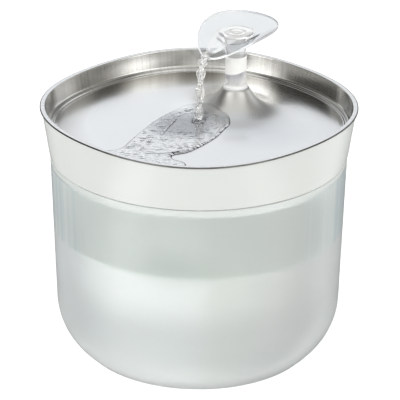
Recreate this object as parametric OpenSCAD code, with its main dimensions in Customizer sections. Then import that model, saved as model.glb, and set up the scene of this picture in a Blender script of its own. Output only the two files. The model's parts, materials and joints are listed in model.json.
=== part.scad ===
// Free-standing pet water fountain: clear bowl, white collar, pressed steel
// drinking tray, turning scoop spout, drip filter and submersible pump.
// Millimetres, +Z up, origin on the ground under the middle of the bowl,
// front (the side the spout pours towards) is -Y.

/* [Rim and tray] */
// Half of the corner-to-corner width of the steel rim
rim_r = 110; // [109:0.5:111]
// How square the rim is in plan (0 is a circle)
rim_square = 0.0245; // [0.015:0.0005:0.026]
// Height of the top of the rim
rim_top = 180; // [179:0.5:182]
// Width of the lip, seen from above
lip_w = 3.7; // [3.3:0.1:4]
// Height of the lip, with its turned-down edge
lip_h = 1.1; // [1:0.1:1.3]
// Thickness of the steel sheet
sheet_t = 0.8; // [0.6:0.1:0.8]
// Depth of the tray floor below the rim
tray_depth = 14.4; // [14:0.1:14.5]
// Radius of the foot of the bell that rises round the spout
bell_foot = 52; // [45:1:56]
// Height of the bell above the tray floor
bell_h = 17.5; // [16.5:0.5:18]
// Number of drain slots at the front of the tray
drain_n = 7; // [3:1:9]

/* [Bowl] */
// Radius of the bowl where its side starts to rise straight
bowl_r = 100.3; // [100:0.1:101]
// Radius of the bowl's lower corner
bowl_corner = 46; // [44:0.5:48]
// Wall thickness of the bowl
bowl_wall = 2.6; // [2.2:0.1:2.8]
// Height of the shoulder that the collar stands on
shoulder_z = 146; // [145:0.5:147]
// Height of the neck inside the collar
neck_h = 11; // [9:0.5:11]

/* [Collar] */
// Overhang of the steel lip past the collar
lip_over = 1.2; // [1:0.1:1.3]
// Wall thickness of the collar
collar_wall = 1.5; // [1.3:0.1:1.5]

/* [Spout] */
// Distance of the spout's axis behind the middle
spout_y = 36; // [34:0.5:38]
// Outer diameter of the spout's visible tube
tube_d = 15; // [14.6:0.2:15.4]
// Bore of the spout's visible tube
tube_bore = 11; // [10.6:0.2:11.2]
// Half width of the scoop, side to side
scoop_w = 27.3; // [26:0.1:28]
// Half length of the scoop, back to front
scoop_l = 28.8; // [27:0.1:29]
// Wall thickness of the scoop
scoop_t = 2; // [1.6:0.1:2.4]
// Height of the outlet in the scoop
outlet_z = 223; // [222:0.5:224]

/* [Pump] */
// Height of the rotor's axis
pump_z = 38; // [37.5:0.5:38.5]
// Width of the pump
pump_w = 38; // [38:0.5:40]
// Number of vanes on the impeller
vane_n = 6; // [4:1:8]
// Radius of the ceramic shaft
shaft_r = 1.25; // [1.2:0.05:1.3]

/* [Filter] */
// Inner width of the filter pocket
pocket_w = 78; // [74:1:78]
// Inner depth of the filter pocket, front to back
pocket_d = 48; // [44:1:48]

/* [Hidden] */

$fn = 96;
SEG = 80;                                  // steps round the lofted rings
e = 0.01;
floor_z = rim_top - tray_depth;            // top of the tray floor
bell_top = floor_z + bell_h;               // top of the bell
base_z = 1;                                // underside of the bowl
inner_floor = 4.2;                         // top of the bowl's floor
corner_z = 38;                             // height of the corner's centre
corner_c = bowl_r - bowl_corner;           // radius of the corner's centre
draft = 0.0285;                            // outward lean of the side
collar_r = rim_r - lip_over;               // collar's top corner radius
lip_under = rim_top - lip_h;               // underside of the lip
deck_z = shoulder_z + 13.5;                // top of the collar's ledge
deck_t = 1.6;
pocket_y = -57;                            // middle of the filter pocket
pump_front = 31;                           // front face of the pump housing
pump_back = 73;
chamber_back = 41;
well_r = 7.6;
nozzle_top = 66;

// Outer radius of the bowl at height z
function bowl_out(z) = z < corner_z
    ? corner_c + sqrt(pow(bowl_corner, 2) - pow(corner_z - z, 2))
    : bowl_r + (z - corner_z) * draft;
// The same for its inner face
function bowl_in(z) = z < corner_z
    ? corner_c + sqrt(pow(bowl_corner - bowl_wall, 2) - pow(corner_z - z, 2))
    : bowl_r - bowl_wall + (z - corner_z) * draft;

// Plan radius factor of the rounded square: w = 0 is round, w = 1 is square
function squ(a, w) = 1 - rim_square * w * (1 + cos(4 * a));
// One closed ring: p = [radius, height, squareness, centre y]
function ring(p, n) = [for (i = [0:n - 1]) let (a = 360 * i / n)
    [p[0] * squ(a, p[2]) * cos(a), p[3] + p[0] * squ(a, p[2]) * sin(a), p[1]]];

// Closed tube-like solid through a loop of rings
module loft(rings) {
    m = len(rings);
    n = len(rings[0]);
    polyhedron(points = [for (r = rings) each r],
        faces = [for (j = [0:m - 1]) for (i = [0:n - 1])
            let (a = j * n + i, b = j * n + (i + 1) % n,
                 d = ((j + 1) % m) * n + i, c = ((j + 1) % m) * n + (i + 1) % n)
            each [[a, d, c], [a, c, b]]], convexity = 8);
}

// Straight cylinder along Y from y0 to y1, on the rotor's axis
module ycyl(y0, y1, r) translate([0, y0, pump_z]) rotate([-90, 0, 0])
    cylinder(h = y1 - y0, r = r);
// Box between two corners
module box(lo, hi) translate(lo) cube(hi - lo);
// Rectangle with round corners, centred
module rrect(w, d, r) union() {
    square([w - 2 * r, d], center = true);
    square([w, d - 2 * r], center = true);
    for (x = [-1, 1], y = [-1, 1])
        translate([x * (w / 2 - r), y * (d / 2 - r)]) circle(r);
}
// Upright plate with that outline
module rplate(x, y, z0, z1, w, d, r) translate([x, y, z0])
    linear_extrude(z1 - z0) rrect(w, d, r);

// ---------------------------------------------------------------- bowl
module bowl() color([0.80, 0.86, 0.86, 0.5]) difference() {
    rotate_extrude() polygon(concat(
        [[0, base_z], [bowl_out(base_z) - 1, base_z]],
        [for (i = [0:12]) let (z = base_z + 0.7 + (corner_z - base_z - 0.7) * i / 12)
            [bowl_out(z), z]],
        [[bowl_out(shoulder_z), shoulder_z],
         [bowl_out(shoulder_z) - 2.9, shoulder_z],
         [bowl_out(shoulder_z) - 2.9, shoulder_z + neck_h],
         [bowl_in(shoulder_z) - 2.9, shoulder_z + neck_h],
         [bowl_in(shoulder_z) - 2.9, shoulder_z - 3],
         [bowl_in(shoulder_z - 6), shoulder_z - 6]],
        [for (i = [12:-1:0]) let (z = inner_floor + 0.8 + (corner_z - inner_floor - 0.8) * i / 12)
            [bowl_in(z), z]],
        [[bowl_in(inner_floor) - 1, inner_floor], [0, inner_floor]]));
    // recesses for the feet
    for (a = [45:90:315]) rotate(a) translate([66, 0, base_z - 1])
        cylinder(h = 1.6, r = 7.1);
    // notch for the cable in the back of the neck
    box([-4.5, 90, shoulder_z + 1], [4.5, 110, shoulder_z + neck_h + 1]);
}

module rubber_feet() color([0.75, 0.77, 0.77])
    for (a = [45:90:315]) rotate(a) translate([66, 0, 0])
        cylinder(h = base_z + 0.6, r = 7);

// -------------------------------------------------------------- collar
module collar() color([0.95, 0.95, 0.93]) difference() {
    loft([for (p = [
        [bowl_out(shoulder_z) - 0.1, shoulder_z, 0],
        [bowl_out(shoulder_z) + 0.35, shoulder_z + 0.6, 0],
        [collar_r - 4.1, shoulder_z + 6, 0.14],
        [collar_r - 3.1, shoulder_z + 13, 0.38],
        [collar_r - 2, shoulder_z + 20, 0.62],
        [collar_r - 0.9, shoulder_z + 27, 0.84],
        [collar_r, lip_under - 0.6, 1],
        [collar_r - 0.5, lip_under, 1],
        [collar_r - collar_wall + 0.1, lip_under, 1],
        [collar_r - 0.9 - collar_wall, shoulder_z + 27, 0.84],
        [collar_r - 2 - collar_wall, shoulder_z + 20, 0.62],
        [collar_r - 3 - collar_wall, deck_z, 0.4],
        [93, deck_z, 0],
        [93, deck_z - 2, 0],
        [bowl_out(shoulder_z) - 2.3, deck_z - 2, 0],
        [bowl_out(shoulder_z) - 2.3, shoulder_z, 0]])
        ring([p[0], p[1], p[2], 0], SEG)]);
    translate([0, 90, shoulder_z + 5]) rotate([-90, 0, 0]) cylinder(h = 20, r = 3.6);
}

module cable_grommet() color([0.30, 0.31, 0.32])
    translate([0, 100.4, shoulder_z + 5]) rotate([-90, 0, 0]) rotate_extrude()
        polygon([[2.1, 0], [3.5, 0], [3.5, 3.55], [4.2, 3.6], [4.2, 4], [2.1, 4]]);

// ---------------------------------------------------------------- tray
// Height of the bell at distance r from the spout's axis
function bell(r) = let (t = max(0, (bell_foot - r) / (bell_foot - 9)))
    floor_z + bell_h * min(1, 0.34 * t * t + 0.66 * pow(t, 4.5));
module tray() color([0.80, 0.81, 0.82]) difference() {
    loft(concat([for (p = [
        [rim_r - 0.4, lip_under, 1],
        [rim_r, lip_under + 0.3, 1],
        [rim_r - 0.3, rim_top - 0.3, 1],
        [rim_r - 1.2, rim_top, 1],
        [rim_r - lip_w + 0.5, rim_top, 1],
        [rim_r - lip_w, rim_top - 0.5, 1],
        [rim_r - lip_w - 1.7, floor_z + 3.4, 1],
        [rim_r - lip_w - 2.1, floor_z + 1.9, 1],
        [rim_r - lip_w - 2.8, floor_z + 1.3, 1],
        [rim_r - lip_w - 4.6, floor_z + 1.1, 1],
        [rim_r - lip_w - 5.5, floor_z + 0.2, 1],
        [rim_r - lip_w - 6.2, floor_z, 1]]) ring([p[0], p[1], p[2], 0], SEG)],
        [for (i = [0:9]) let (r = bell_foot + (9 - bell_foot) * i / 9)
            ring([r, bell(r), 0, spout_y], SEG)],
        [ring([6, bell_top, 0, spout_y], SEG), ring([6, bell_top - sheet_t, 0, spout_y], SEG)],
        [for (i = [6:-1:0]) let (r = bell_foot + (9 - bell_foot) * i / 6)
            ring([r, bell(r) - sheet_t, 0, spout_y], SEG)],
        [for (p = [
            [rim_r - lip_w - 6, floor_z - sheet_t, 1],
            [rim_r - lip_w - 4.9, floor_z - sheet_t + 0.3, 1],
            [rim_r - lip_w - 4, floor_z + 1.1 - sheet_t, 1],
            [rim_r - lip_w - 2.6, floor_z + 1.3 - sheet_t, 1],
            [rim_r - lip_w - 1.4, floor_z + 1.4, 1],
            [rim_r - lip_w - 1, floor_z + 3.2, 1],
            [rim_r - lip_w + 0.5, lip_under, 1]]) ring([p[0], p[1], p[2], 0], SEG)]));
    translate([0, spout_y, bell_top - 6]) cylinder(h = 12, r = 7.3);
    // drain slots behind the front lip
    for (i = [0:drain_n - 1]) let (x = (i - (drain_n - 1) / 2) * 8)
        translate([x, -88, floor_z - 3]) linear_extrude(6) rrect(3.6, 11, 1.75);
}

// --------------------------------------------------------------- spout
module spout_foot_ring() color([0.90, 0.93, 0.93, 0.6])
    translate([0, spout_y, bell_top]) rotate_extrude() polygon([
        [5.6, -5], [7.0, -5], [7.2, -4.4], [7.2, 0], [8.2, 0], [8.2, 1.9],
        [7.8, 2.6], [5.6, 2.6]]);

// Edge of the scoop at angle a, 90 is the back and -90 the pouring lip
function edge(a) = let (
    y = scoop_l * sin(a) + 0.25,
    x = scoop_w * cos(a) * (1 + 0.094 * sin(a)))
    [x, spout_y + y, outlet_z + 17 + 0.3 * y - 0.0158 * x * x - 0.0225 * y * y];
// Scoop surface from the outlet's seat (t = 0) to the edge (t = 1)
function scoop(a, t, dz) = let (q = edge(a), x = 7.6 * cos(a), y = spout_y + 7.6 * sin(a))
    [x + (q[0] - x) * t, y + (q[1] - y) * t, outlet_z + (q[2] - outlet_z) * pow(t, 1.6) + dz];
function scoop_ring(t, dz) = [for (i = [0:SEG - 1]) scoop(360 * i / SEG, t, dz)];
module spout() color([0.92, 0.95, 0.95, 0.5]) union() {
    // scoop, with its throat narrowing like a trumpet into the tube
    loft(concat(
        [scoop_ring(0.97, -scoop_t + 0.2), scoop_ring(1, -scoop_t / 2), scoop_ring(0.97, 0)],
        [for (t = [0.84, 0.68, 0.5, 0.38]) scoop_ring(t, 0)], [scoop_ring(0.29, -0.4)],
        [for (q = [[4.6, -2.6], [3.2, -4.6], [1.4, -8.6], [0.5, -13], [0.4, -19]])
            ring([tube_bore / 2 + q[0], outlet_z + q[1], 0, spout_y], SEG)],
        [for (q = [[-0.4, -19], [-0.2, -15], [0.7, -11], [2.4, -7.4], [4.6, -4.8]])
            ring([tube_d / 2 + q[0], outlet_z + q[1], 0, spout_y], SEG)],
        [for (t = [0.45, 0.6, 0.78]) scoop_ring(t, -scoop_t)]));
    // tube and the plug below it
    translate([0, spout_y, 0]) rotate_extrude() polygon([
        [4, 146.5], [5.5, 146.5], [5.5, bell_top + 2.6], [tube_d / 2, bell_top + 2.6],
        [tube_d / 2, outlet_z - 14.5], [tube_bore / 2, outlet_z - 14.5],
        [tube_bore / 2, bell_top + 5], [4, bell_top + 5]]);
}

// --------------------------------------------------------------- riser
module riser_tube() color([0.90, 0.93, 0.93, 0.6])
    translate([0, spout_y, 0]) rotate_extrude() polygon([
        [4, nozzle_top + 0.3], [5.5, nozzle_top + 0.3], [5.5, 146], [3.9, 146],
        [3.9, 160], [2.8, 160], [2.8, 144], [4, 143]]);
module riser_coupling() color([0.85, 0.87, 0.87])
    translate([0, spout_y, 0]) rotate_extrude() polygon([
        [6.02, 56], [8, 56], [8, 68], [7.4, 78], [5.52, 78], [5.52, nozzle_top + 0.4],
        [6.02, nozzle_top + 0.2]]);

// -------------------------------------------------------------- filter
module filter_frame() color([0.93, 0.94, 0.93]) difference() {
    union() {
        translate([0, 0, deck_z]) cylinder(h = deck_t, r = 98.5);
        translate([0, 0, deck_z]) difference() {
            cylinder(h = deck_t + 2.4, r = 98.5);
            translate([0, 0, -1]) cylinder(h = 9, r = 97);
        }
        rplate(0, pocket_y, 148, deck_z + 1, pocket_w + 3.2, pocket_d + 3.2, 4.6);
        translate([0, spout_y, deck_z]) cylinder(h = deck_t + 2.4, r = 11);
    }
    rplate(0, pocket_y, 140, deck_z, pocket_w, pocket_d, 3);
    rplate(0, pocket_y, 140, deck_z + 9, pocket_w - 6, pocket_d - 6, 3);
    translate([0, spout_y, 140]) cylinder(h = 40, r = 9);
    // way through for the cable and for water that misses the filter
    rplate(0, 84, 140, 180, 30, 12, 3);
}
module filter_shell() color([0.88, 0.90, 0.90]) difference() {
    union() {
        rplate(0, pocket_y, 146.6, 148, pocket_w + 5, pocket_d + 5, 5.5);
        rplate(0, pocket_y, 146.6, 157.4, pocket_w - 0.6, pocket_d - 0.6, 2.7);
    }
    rplate(0, pocket_y, 147.8, 160, pocket_w - 3, pocket_d - 3, 1.6);
    for (i = [-4:4], j = [-1:1])
        rplate(i * 7.8, pocket_y + j * 14, 140, 150, 3.2, 10, 1.5);
}
module filter_lid() color([0.88, 0.90, 0.90]) difference() {
    rplate(0, pocket_y, 157.4, 158.9, pocket_w - 0.6, pocket_d - 0.6, 2.7);
    for (i = [-4:4], j = [-1:1])
        rplate(i * 7.8, pocket_y + j * 14, 150, 160, 3.2, 10, 1.5);
}
module fill_layer(z0, z1) rplate(0, pocket_y, z0, z1, pocket_w - 3.2, pocket_d - 3.2, 1.5);
module filter_fleece() color([0.96, 0.96, 0.94]) {
    fill_layer(147.9, 149.4);
    fill_layer(155.7, 157.3);
}
module resin_bed() color([0.85, 0.62, 0.30]) fill_layer(149.5, 151.7);
module carbon_bed() color([0.12, 0.12, 0.13]) fill_layer(151.8, 155.6);

// ---------------------------------------------------------------- pump
module cup_places() for (x = [-12, 12], y = [38, 65]) translate([x, y, 0]) children();
module pump_housing() color([0.74, 0.76, 0.77]) difference() {
    union() {
        rplate(0, (pump_front + pump_back) / 2, 9, 53, pump_w, pump_back - pump_front, 2.5);
        translate([0, spout_y, 50]) cylinder(h = nozzle_top - 50, r = 6);
    }
    ycyl(pump_front - 1, chamber_back, 13.4);
    ycyl(pump_front - 1, 66, well_r);
    ycyl(60, 69.1, 4);
    difference() {
        box([-pump_w / 2 + 2, chamber_back + 3, 11], [pump_w / 2 - 2, pump_back + 1, 51]);
        ycyl(40, 70.6, well_r + 1);
    }
    translate([0, spout_y, pump_z]) cylinder(h = 40, r = 4);
    cup_places() translate([0, 0, 8]) cylinder(h = 2.5, r = 2.45);
    translate([9, 66, 45]) cylinder(h = 12, r = 3);
}
module stator_core() color([0.45, 0.46, 0.48]) difference() {
    union() {
        for (s = [0, 1]) mirror([s, 0, 0]) box([9, 50, 16], [14, 64, 47]);
        box([-10, 50, 16], [10, 64, 21]);
    }
    ycyl(45, 70, well_r + 1.8);
}
module coil_bobbin() color([0.92, 0.92, 0.88]) difference() {
    union() {
        box([-8.4, 49.2, 15.2], [8.4, 64.8, 21.8]);
        for (s = [0, 1]) mirror([s, 0, 0]) box([7.6, 46.6, 12.3], [8.4, 67.4, 24.7]);
    }
    box([-9, 49.95, 15.95], [9, 64.05, 21.05]);
}
module stator_coil() color([0.72, 0.40, 0.20]) difference() {
    box([-7.55, 47, 12.7], [7.55, 67, 24.3]);
    box([-8, 49.15, 15.15], [8, 64.85, 21.85]);
}
module potting() color([0.10, 0.10, 0.11]) difference() {
    box([-pump_w / 2 + 2.05, chamber_back + 3.05, 11.05], [pump_w / 2 - 2.05, pump_back - 0.4, 50.95]);
    ycyl(40, 70.65, well_r + 1.1);
    box([-14.05, 49.95, 15.9], [14.05, 64.05, 47.05]);
    box([-8.45, 46.55, 12.25], [8.45, 67.45, 24.75]);
    translate([9, 66, 47]) cylinder(h = 12, r = 3.05);
}
module rotor_magnet() color([0.16, 0.16, 0.18]) difference() {
    ycyl(44.6, 65.4, 6.6);
    ycyl(40, 70, shaft_r + 0.06);
}
module impeller() color([0.93, 0.93, 0.90]) difference() {
    union() {
        ycyl(33.4, 44.6, 3.6);
        ycyl(39.4, 40.4, 12.4);
        for (i = [0:vane_n - 1]) translate([0, 0, pump_z]) rotate([0, 360 / vane_n * i, 0])
            translate([-0.7, 33.4, 3]) cube([1.4, 6.4, 9.2]);
    }
    ycyl(30, 50, shaft_r + 0.06);
}
module impeller_shaft() color([0.96, 0.96, 0.93]) ycyl(29.3, 68.6, shaft_r);
module shaft_bushes() color([0.35, 0.35, 0.36]) {
    difference() { ycyl(66.2, 68.9, 3.9); ycyl(66, 69.2, shaft_r + 0.01); }
    difference() { ycyl(29.2, 32.7, 2.9); ycyl(29, 33, shaft_r + 0.01); }
}
module impeller_cover() color([0.70, 0.72, 0.73]) difference() {
    union() {
        ycyl(pump_front, 32.8, 13.3);
        ycyl(28.2, 32.8, 4.4);
    }
    ycyl(29.1, 34, 3);
    // curved intake windows round the hub
    difference() {
        ycyl(30, 34, 9.5);
        ycyl(29, 35, 4.4);
        for (a = [0, 120, 240]) translate([0, 0, pump_z]) rotate([0, a, 0])
            translate([-1.2, 26, 0]) cube([2.4, 8, 12]);
    }
}
module strainer_cover() color([0.74, 0.76, 0.77]) difference() {
    rplate(0, 19.425, 9, 53, pump_w, 22.85, 2.5);
    box([-pump_w / 2 + 1.8, 9.8, 10.8], [pump_w / 2 - 1.8, 40, 51.2]);
    for (i = [-3:2:3]) box([i * 3.5 - 1.5, 7, 15], [i * 3.5 + 1.5, 12, 41]);
    for (i = [0:2]) box([-25, 14.2 + i * 4.6, 15], [25, 16.4 + i * 4.6, 45]);
    box([-2.3, 7, 44.4], [5.8, 12, 47.6]);
    // room for the foot of the pump's nozzle
    translate([0, spout_y, 50]) cylinder(h = 4, r = 6.3);
}
module strainer_foam() color([0.84, 0.85, 0.84])
    box([-pump_w / 2 + 2, 11.6, 11], [pump_w / 2 - 2, 27.2, 51]);
module flow_shutter() color([0.62, 0.66, 0.68]) union() {
    difference() {
        box([-16.6, 10, 12], [13.2, 11.3, 49.4]);
        for (i = [-3:2:3]) box([i * 3.5 - 1.7, 9, 14], [i * 3.5 + 1.7, 12, 42]);
    }
    box([-2, 6, 44.7], [2, 10.5, 47.3]);
}
module suction_cups() color([0.82, 0.84, 0.84, 0.8]) cup_places()
    rotate_extrude() polygon([[0, 5.2], [4.5, 4.9], [6.8, inner_floor], [7.2, inner_floor],
        [5.2, 7.4], [2.4, 8], [2.4, 10.3], [0, 10.3]]);
module cable_gland() color([0.10, 0.10, 0.11]) translate([9, 66, 0]) rotate_extrude()
    polygon([[2, 48], [2.95, 48], [2.95, 53], [4.6, 53], [4.2, 56], [3.2, 62], [2, 62]]);

bowl();
rubber_feet();
collar();
cable_grommet();
tray();
spout_foot_ring();
spout();
riser_tube();
riser_coupling();
filter_frame();
filter_shell();
filter_lid();
filter_fleece();
carbon_bed();
resin_bed();
pump_housing();
stator_core();
coil_bobbin();
stator_coil();
potting();
rotor_magnet();
impeller();
impeller_shaft();
shaft_bushes();
impeller_cover();
strainer_cover();
strainer_foam();
flow_shutter();
suction_cups();
cable_gland();
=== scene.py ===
import json
import math

import bmesh
import bpy
import numpy as np
from mathutils import Matrix, Vector, noise
from mathutils.geometry import delaunay_2d_cdt

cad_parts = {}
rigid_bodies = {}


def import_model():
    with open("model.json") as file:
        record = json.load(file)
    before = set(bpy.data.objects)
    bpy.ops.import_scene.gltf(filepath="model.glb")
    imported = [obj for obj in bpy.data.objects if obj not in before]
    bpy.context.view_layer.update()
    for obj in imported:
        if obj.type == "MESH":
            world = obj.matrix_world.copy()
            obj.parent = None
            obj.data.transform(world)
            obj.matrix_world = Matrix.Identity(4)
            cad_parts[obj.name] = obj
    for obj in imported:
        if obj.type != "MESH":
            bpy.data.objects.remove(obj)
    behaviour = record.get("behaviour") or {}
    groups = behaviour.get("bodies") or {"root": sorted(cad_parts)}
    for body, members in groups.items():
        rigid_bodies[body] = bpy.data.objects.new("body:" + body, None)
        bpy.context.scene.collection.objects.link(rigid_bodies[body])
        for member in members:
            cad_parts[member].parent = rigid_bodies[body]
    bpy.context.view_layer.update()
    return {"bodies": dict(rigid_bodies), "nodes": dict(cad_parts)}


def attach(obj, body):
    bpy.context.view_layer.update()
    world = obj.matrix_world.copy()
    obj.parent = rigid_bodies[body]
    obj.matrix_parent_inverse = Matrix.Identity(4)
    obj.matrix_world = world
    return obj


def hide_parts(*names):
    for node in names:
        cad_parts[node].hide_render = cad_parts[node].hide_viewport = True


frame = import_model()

M = 0.001          # everything below is written in millimetres
TAU = 2 * math.pi
N = 288            # steps round the smooth rings
nodes, bodies = frame["nodes"], frame["bodies"]
scene = bpy.context.scene

# ------------------------------------------------------------------ sizes
RIM_R, RIM_TOP, LIP_W, FLOOR_Z, SPOUT_Y, BELL_R, BELL_TOP = 110.0, 180.0, 3.7, 165.6, 36.0, 52.0, 183.1
WATER_Z = 93.7


def bowl_out(z):
    return 54.3 + math.sqrt(46 ** 2 - (38 - z) ** 2) if z < 38 else 100.3 + (z - 38) * 0.0285


def bowl_in(z):
    return 54.3 + math.sqrt(43.4 ** 2 - (38 - z) ** 2) if z < 38 else 97.7 + (z - 38) * 0.0285


def bell(r):
    t = np.maximum(0.0, (BELL_R - np.asarray(r, float)) / 43.0)
    return FLOOR_Z + 17.5 * np.minimum(1.0, 0.34 * t ** 2 + 0.66 * t ** 4.5)


def tray_top(x, y):
    return bell(np.hypot(x, np.asarray(y) - SPOUT_Y))


def smooth(t):
    t = np.clip(t, 0.0, 1.0)
    return t * t * (3 - 2 * t)


# ------------------------------------------------------------ mesh helpers
def squ(a, w):
    return 1 - 0.0245 * w * (1 + np.cos(4 * a))


def ring(r, z, w=0.0, cy=0.0, n=N):
    a = np.arange(n) * TAU / n
    q = r * squ(a, w)
    return np.c_[q * np.cos(a), cy + q * np.sin(a), np.full(n, float(z))]


def fillet(pts, closed=False, steps=5):
    """Profile points (r, z, squareness, corner radius) with their corners rounded."""
    out, m = [], len(pts)
    for i, (r, z, w, rad) in enumerate(pts):
        if rad <= 0 or (not closed and i in (0, m - 1)):
            out.append((r, z, w))
            continue
        p, a, b = np.array([r, z]), np.array(pts[i - 1][:2]), np.array(pts[(i + 1) % m][:2])
        u, v = a - p, b - p
        lu, lv = np.linalg.norm(u), np.linalg.norm(v)
        u, v = u / lu, v / lv
        ang = math.acos(max(-1, min(1, float(u @ v))))
        t = min(rad / math.tan(ang / 2), 0.48 * lu, 0.48 * lv)
        k = 0.55 * (1 - 0.25 * math.cos(ang / 2))
        for s in np.linspace(0, 1, steps + 1):
            p0, p3 = p + u * t, p + v * t
            p1, p2 = p0 + (p - p0) * k, p3 + (p - p3) * k
            q = (1 - s) ** 3 * p0 + 3 * s * (1 - s) ** 2 * p1 + 3 * s * s * (1 - s) * p2 + s ** 3 * p3
            out.append((float(q[0]), float(q[1]), w))
    return out


def new_object(name, mesh):
    o = bpy.data.objects.new(name, mesh)
    scene.collection.objects.link(o)
    return o


def make(name, verts, faces, sharp=34):
    """Object from millimetre points, with outward normals and smooth shading."""
    me = bpy.data.meshes.new(name)
    me.from_pydata((np.asarray(verts, float) * M).tolist(), [], [tuple(map(int, f)) for f in faces])
    bm = bmesh.new()
    bm.from_mesh(me)
    bmesh.ops.recalc_face_normals(bm, faces=bm.faces)
    bm.to_mesh(me)
    bm.free()
    shade(me, sharp)
    return new_object(name, me)


def shade(me, sharp=34):
    me.shade_smooth()
    me.set_sharp_from_angle(angle=math.radians(sharp))


def skin(rings, loop=True, caps=(None, None)):
    """Faces over a list of rings. caps are a point for each open end, or None."""
    n, m = len(rings[0]), len(rings)
    verts = np.concatenate(rings)
    faces = []
    for j in range(m if loop else m - 1):
        k = (j + 1) % m
        for i in range(n):
            i2 = (i + 1) % n
            faces.append((j * n + i, j * n + i2, k * n + i2, k * n + i))
    for end, c in zip((0, m - 1), caps):
        if c is None:
            continue
        verts = np.vstack([verts, c])
        for i in range(n):
            faces.append((end * n + i, end * n + (i + 1) % n, len(verts) - 1))
    return verts, faces


def lathe(name, prof, cy=0.0, n=N, loop=True, caps=(None, None), sharp=34):
    rings = [ring(p[0], p[1], p[2] if len(p) > 2 else 0.0, cy, n) for p in prof]
    v, f = skin(rings, loop, caps)
    return make(name, v, f, sharp)


def applied(o):
    """Applies o's modifiers to its mesh."""
    bpy.context.view_layer.update()
    dg = bpy.context.evaluated_depsgraph_get()
    me = bpy.data.meshes.new_from_object(o.evaluated_get(dg), preserve_all_data_layers=True, depsgraph=dg)
    old = o.data
    o.modifiers.clear()
    o.data = me
    bpy.data.meshes.remove(old)
    return o


def cut(o, tools, sharp=34):
    """Takes the tool objects away from o and removes them."""
    for t in tools:
        m = o.modifiers.new("cut", "BOOLEAN")
        m.operation, m.solver, m.object = "DIFFERENCE", "EXACT", t
    applied(o)
    for t in tools:
        bpy.data.objects.remove(t)
    shade(o.data, sharp)
    return o


def prism(name, outline, z0, z1):
    n = len(outline)
    v = [(x, y, z0) for x, y in outline] + [(x, y, z1) for x, y in outline]
    f = [tuple(range(n))[::-1], tuple(range(n, 2 * n))]
    f += [(i, (i + 1) % n, n + (i + 1) % n, n + i) for i in range(n)]
    return make(name, v, f)


def stadium(cx, cy, w, h, k=8):
    r = w / 2 - 0.02
    pts = [(cx + r * math.cos(a), cy + h / 2 - r + r * math.sin(a)) for a in np.linspace(0, math.pi, k)]
    pts += [(cx + r * math.cos(a), cy - h / 2 + r + r * math.sin(a)) for a in np.linspace(math.pi, TAU, k)]
    return pts


def spline(pts, per=8, closed=True):
    """Catmull-Rom curve through points."""
    p = np.asarray(pts, float)
    m = len(p)
    out = []
    for i in range(m if closed else m - 1):
        if closed:
            a, b, c, d = p[(i - 1) % m], p[i], p[(i + 1) % m], p[(i + 2) % m]
        else:
            a, b, c, d = p[max(i - 1, 0)], p[i], p[i + 1], p[min(i + 2, m - 1)]
        for t in np.arange(per) / per:
            out.append(0.5 * (2 * b + (c - a) * t + (2 * a - 5 * b + 4 * c - d) * t * t + (3 * b - a - 3 * c + d) * t ** 3))
    if not closed:
        out.append(p[-1])
    return np.array(out)


def even(curve, n):
    """n points at equal steps along a closed curve."""
    c = np.vstack([curve, curve[:1]])
    s = np.r_[0, np.cumsum(np.linalg.norm(np.diff(c, axis=0), axis=1))]
    t = np.linspace(0, s[-1], n, endpoint=False)
    return np.c_[[np.interp(t, s, c[:, k]) for k in range(c.shape[1])]].T


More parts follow.
